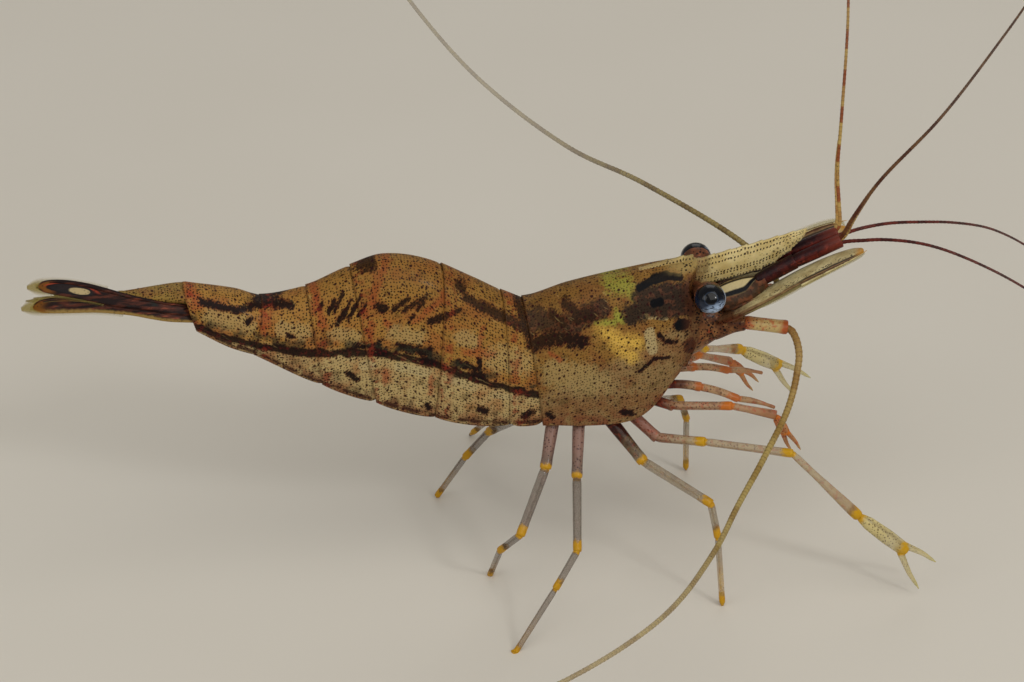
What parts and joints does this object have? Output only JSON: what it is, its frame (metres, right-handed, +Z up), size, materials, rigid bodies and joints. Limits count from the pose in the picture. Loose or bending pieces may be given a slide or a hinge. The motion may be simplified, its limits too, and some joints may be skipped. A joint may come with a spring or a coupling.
{
  "type": "shrimp",
  "caption": "Life-size shrimp model standing on its walking legs: carapace with toothed rostrum, stalked eyes, long feelers, small claws, jointed tail and tail fan.",
  "frame": {"origin": "middle of the underside of the model's box, on the level the feet stand on", "axes": "+X towards the head, +Y to the animal's left, +Z up"},
  "size_m": [0.0698, 0.0596, 0.0501],
  "materials": {
    "carapace": "glossy translucent tan shell, densely dotted with brown-black, with dark and golden patches",
    "tail_plates": "glossy translucent tan shell, dotted, with orange-red bands and a dark line low on the side",
    "telson": "glossy translucent tan shell with fine dots",
    "face": "semi-gloss orange-brown shell with dark dots",
    "rostrum": "pale translucent blade with rows of small dark dots",
    "eye": "glossy blue-black eye with a paler blue rim",
    "eyestalk": "semi-gloss brown",
    "antennule": "dark maroon, semi-gloss",
    "antennal_scale": "pale olive translucent blade with dark edges",
    "antenna_base": "translucent with orange-red spots",
    "long_whip": "pale yellow-brown, semi-gloss",
    "short_whip": "maroon-brown, finely ringed with pale",
    "leg": "glassy clear limb with purple-brown dots and yellow-orange joints",
    "claw": "translucent olive-yellow with orange joints",
    "mouth_limb": "translucent with orange-brown dots",
    "pleopod": "translucent with red-brown edges",
    "tail_fan": "maroon and black streaked blades with a clear olive fringe"
  },
  "bodies": {
    "root": {"carapace": "carapace", "abdomen_1": "tail_plates", "abdomen_2": "tail_plates", "abdomen_3": "tail_plates", "abdomen_4": "tail_plates", "abdomen_5": "tail_plates", "abdomen_6": "tail_plates", "rostrum": "rostrum", "head": "face", "telson": "telson", "eye_left": "eye", "eyestalk_left": "eyestalk", "antennule_base_left": "antennule", "antenna_scale_left": "antennal_scale", "antenna_base_left": "antenna_base", "antenna_whip_left": "long_whip", "antennule_outer_left": "short_whip", "antennule_short_left": "short_whip", "antennule_inner_left": "short_whip", "leg_1_left": "leg", "leg_2_left": "leg", "leg_3_left": "leg", "leg_4_left": "leg", "leg_5_left": "leg", "claw_1_left": "claw", "claw_2_left": "claw", "maxilliped_left": "mouth_limb", "pleopod_1_left": "pleopod", "pleopod_2_left": "pleopod", "pleopod_3_left": "pleopod", "pleopod_4_left": "pleopod", "pleopod_5_left": "pleopod", "uropod_inner_left": "tail_fan", "uropod_outer_left": "tail_fan", "eye_right": "eye", "eyestalk_right": "eyestalk", "antennule_base_right": "antennule", "antenna_scale_right": "antennal_scale", "antenna_base_right": "antenna_base", "antenna_whip_right": "long_whip", "antennule_outer_right": "short_whip", "antennule_short_right": "short_whip", "antennule_inner_right": "short_whip", "leg_1_right": "leg", "leg_2_right": "leg", "leg_3_right": "leg", "leg_4_right": "leg", "leg_5_right": "leg", "claw_1_right": "claw", "claw_2_right": "claw", "maxilliped_right": "mouth_limb", "pleopod_1_right": "pleopod", "pleopod_2_right": "pleopod", "pleopod_3_right": "pleopod", "pleopod_4_right": "pleopod", "pleopod_5_right": "pleopod", "uropod_inner_right": "tail_fan", "uropod_outer_right": "tail_fan"}
  },
  "joints": []
}
